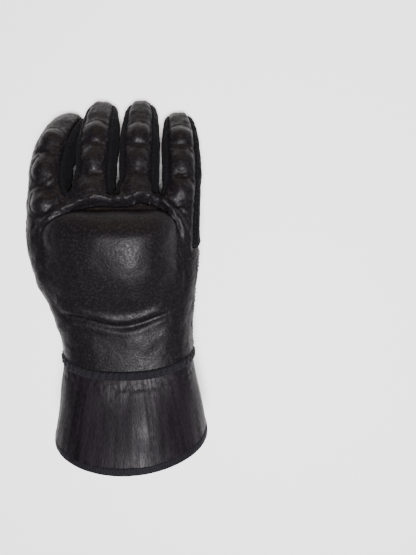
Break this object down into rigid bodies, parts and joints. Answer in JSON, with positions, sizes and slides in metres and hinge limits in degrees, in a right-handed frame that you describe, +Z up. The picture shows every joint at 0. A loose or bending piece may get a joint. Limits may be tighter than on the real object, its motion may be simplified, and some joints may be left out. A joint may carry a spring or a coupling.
{
  "type": "impact glove",
  "caption": "Padded work glove for the right hand with a domed knuckle guard, finger pads, netted grip palm and flared wrist cuff, lying palm down",
  "frame": {"origin": "Middle of the glove's outline, on the surface that it lies on", "axes": "+Y to the fingertips, +X to the little finger's side, +Z up from the surface to the back"},
  "size_m": [0.1146, 0.2292, 0.0779],
  "materials": {
    "back_cloth": "woven, satin",
    "guard_cloth": "woven, satin",
    "suede": "matt napped",
    "grip_net": "netted, semi-gloss",
    "gusset_knit": "knit, matt",
    "pad_skin": "smooth, satin",
    "cuff_cloth": "ribbed, satin",
    "binding_tape": "tape, matt"
  },
  "bodies": {
    "root": {"back_panel": "back_cloth", "thumb_back": "back_cloth", "index_pad_1": "back_cloth", "index_pad_2": "back_cloth", "index_pad_3": "back_cloth", "middle_pad_1": "back_cloth", "middle_pad_2": "back_cloth", "middle_pad_3": "back_cloth", "ring_pad_1": "back_cloth", "ring_pad_2": "back_cloth", "ring_pad_3": "back_cloth", "little_pad_1": "back_cloth", "little_pad_2": "back_cloth", "little_pad_3": "back_cloth", "thumb_pad_1": "back_cloth", "thumb_pad_2": "back_cloth", "knuckle_guard": "guard_cloth", "palm_panel": "suede", "thumb_front": "suede", "heel_patch": "suede", "grip_panel": "grip_net", "gusset_index_middle": "gusset_knit", "gusset_middle_ring": "gusset_knit", "gusset_ring_little": "gusset_knit", "cuff_gusset": "gusset_knit", "heel_pad_thumb": "pad_skin", "heel_pad_little": "pad_skin", "cuff": "cuff_cloth", "wrist_binding": "binding_tape", "cuff_binding": "binding_tape"}
  },
  "joints": []
}
